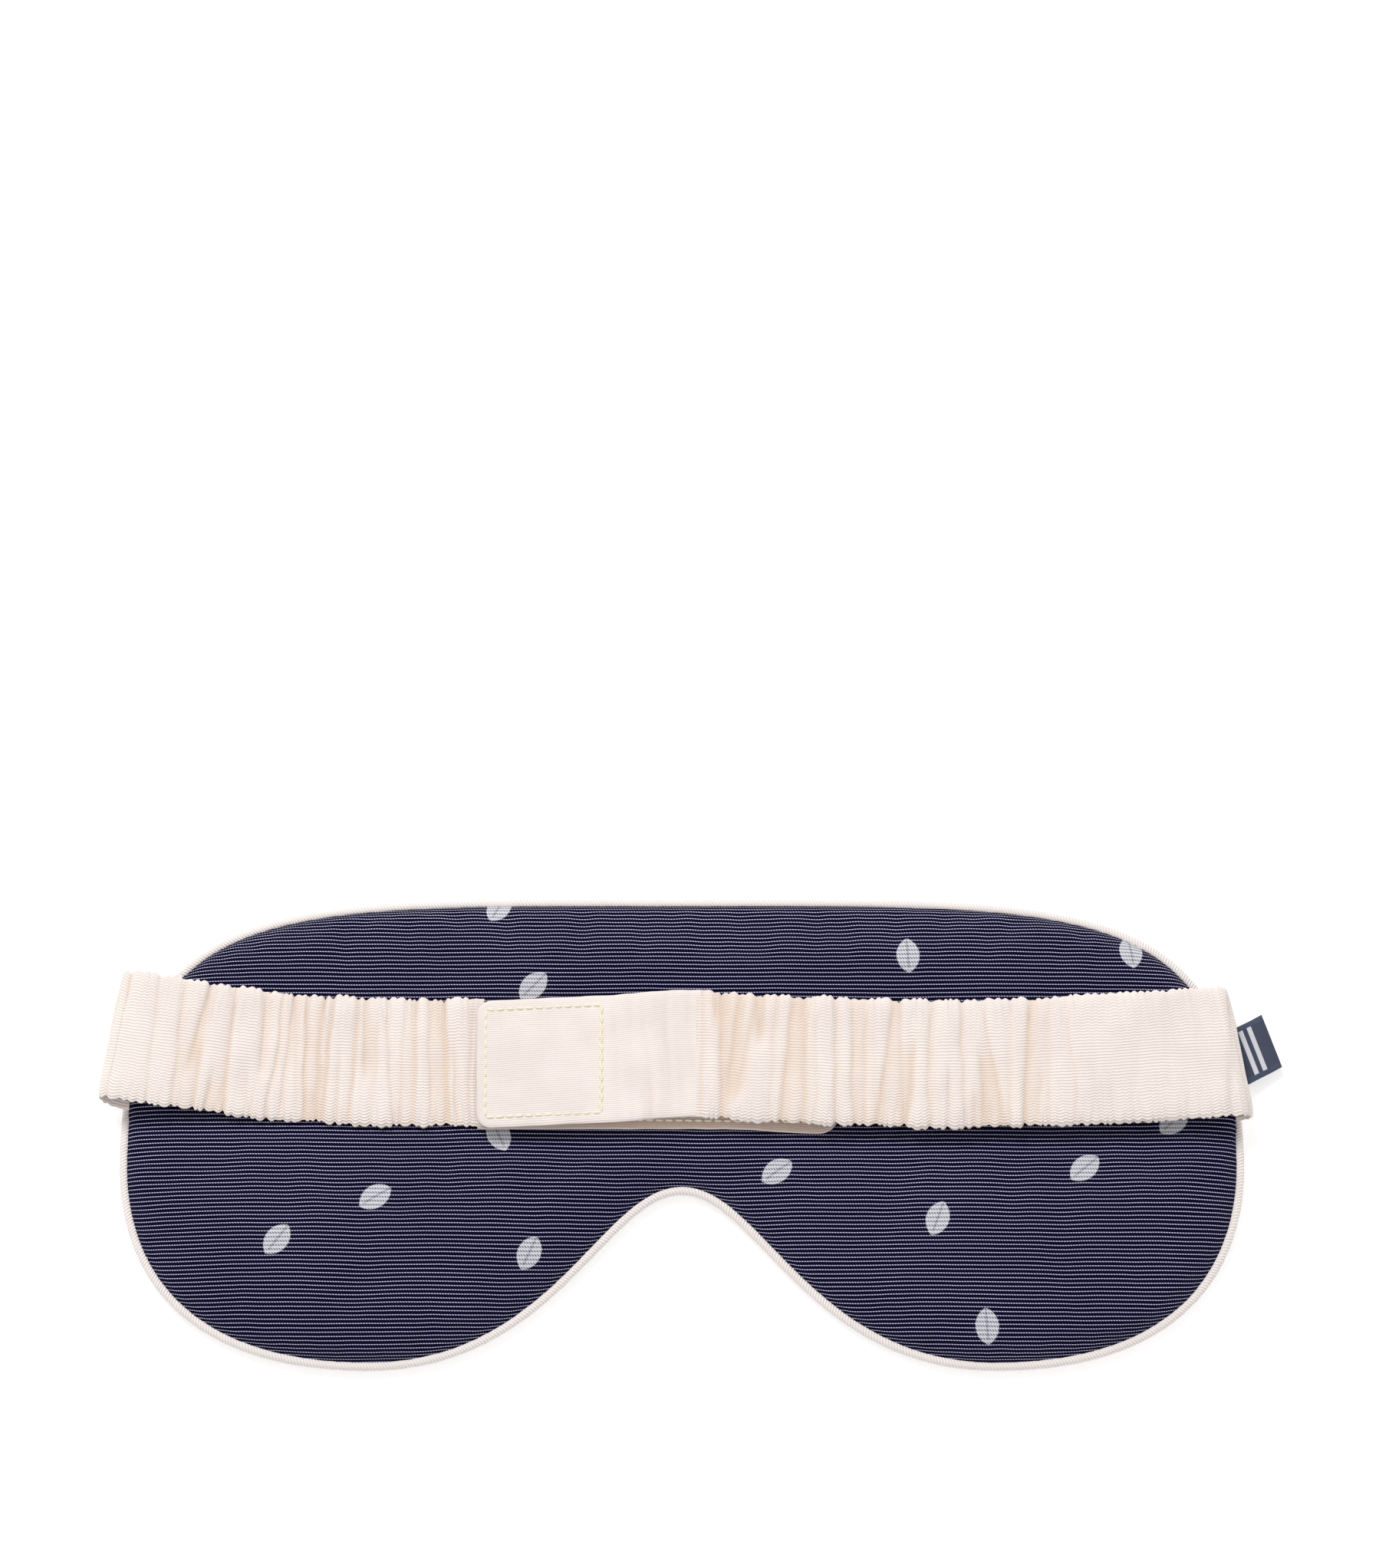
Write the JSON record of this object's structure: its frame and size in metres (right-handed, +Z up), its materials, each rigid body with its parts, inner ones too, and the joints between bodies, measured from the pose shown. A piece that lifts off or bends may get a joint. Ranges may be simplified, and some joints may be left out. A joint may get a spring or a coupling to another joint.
{
  "type": "padded sleep mask",
  "caption": "Padded sleep mask with a nose notch, piped edge, side label and a folded elastic strap that closes with a hook-and-loop tab.",
  "frame": {"origin": "on the resting outer face, at the middle of the bridge, between the brow edge and the top of the nose notch", "axes": "+X along the mask from side seam to side seam, +Y towards the brow, +Z up out of the face side that the strap is folded over"},
  "size_m": [0.2294, 0.0941, 0.011],
  "materials": {
    "navy_jersey": "ribbed navy jersey with a small pale print",
    "cream_jersey": "soft cream jersey, gathered over elastic",
    "cream_piping": "cream piping with fine cross ribs",
    "sewing_thread": "cream polyester thread",
    "padding_foam": "soft polyester padding",
    "black_lining": "matt black woven lining",
    "cotton_cord": "twisted cotton cord",
    "elastic_band": "woven elastic",
    "closure_tape": "hook and loop tape",
    "label_weave": "fine slate-blue woven ribbon"
  },
  "bodies": {
    "mask": {"outer_cover": "navy_jersey", "face_cover": "navy_jersey", "padding": "padding_foam", "blackout_lining": "black_lining", "piping": "cream_piping", "piping_cord": "cotton_cord", "left_strap_root": "cream_jersey", "right_strap_root": "cream_jersey", "side_label_root": "label_weave"},
    "right_strap": {"right_sleeve": "cream_jersey", "right_elastic": "elastic_band"},
    "right_end": {"right_lead": "cream_jersey"},
    "closure_tab": {"closure_tab": "cream_jersey", "hook_tape": "closure_tape", "hook_tape_stitching": "sewing_thread"},
    "left_strap": {"left_sleeve": "cream_jersey", "left_elastic": "elastic_band"},
    "left_end": {"left_lap": "cream_jersey", "loop_tape": "closure_tape", "loop_tape_stitching": "sewing_thread"},
    "label": {"side_label": "label_weave"}
  },
  "joints": [
    {"name": "right_strap_swing", "type": "hinge", "parent": "mask", "child": "right_strap", "pos_m": [0.10703, 0.00107, 0.00715], "axis": [-0.1822, 0.9833, 0], "range_deg": [0, 170], "deforming": ["right_strap_root"]},
    {"name": "left_strap_swing", "type": "hinge", "parent": "mask", "child": "left_strap", "pos_m": [-0.10703, 0.00107, 0.00715], "axis": [-0.1822, -0.9833, 0], "range_deg": [0, 170], "deforming": ["left_strap_root"]},
    {"name": "right_strap_stretch", "type": "slide", "parent": "right_strap", "child": "right_end", "axis": [-1, 0, 0], "range_m": [0, 0.035], "stiffness_N_per_m": 40, "deforming": ["right_sleeve", "right_elastic"]},
    {"name": "left_strap_stretch", "type": "slide", "parent": "left_strap", "child": "left_end", "axis": [1, 0, 0], "range_m": [0, 0.03], "stiffness_N_per_m": 40, "deforming": ["left_sleeve", "left_elastic"]},
    {"name": "tab_peel", "type": "hinge", "parent": "right_end", "child": "closure_tab", "pos_m": [-0.0142, -0.0042, 0.0103], "axis": [0, 1, 0], "range_deg": [0, 150]},
    {"name": "label_flip", "type": "hinge", "parent": "mask", "child": "label", "pos_m": [0.10759, 0.0013, 0.0035], "axis": [-0.3433, 0.9392, 0], "range_deg": [0, 75], "stiffness_Nm_per_rad": 0.0005}
  ],
  "couplings": [
    {"joint": "left_strap_swing", "follows": "right_strap_swing", "ratio": 0.5}
  ]
}
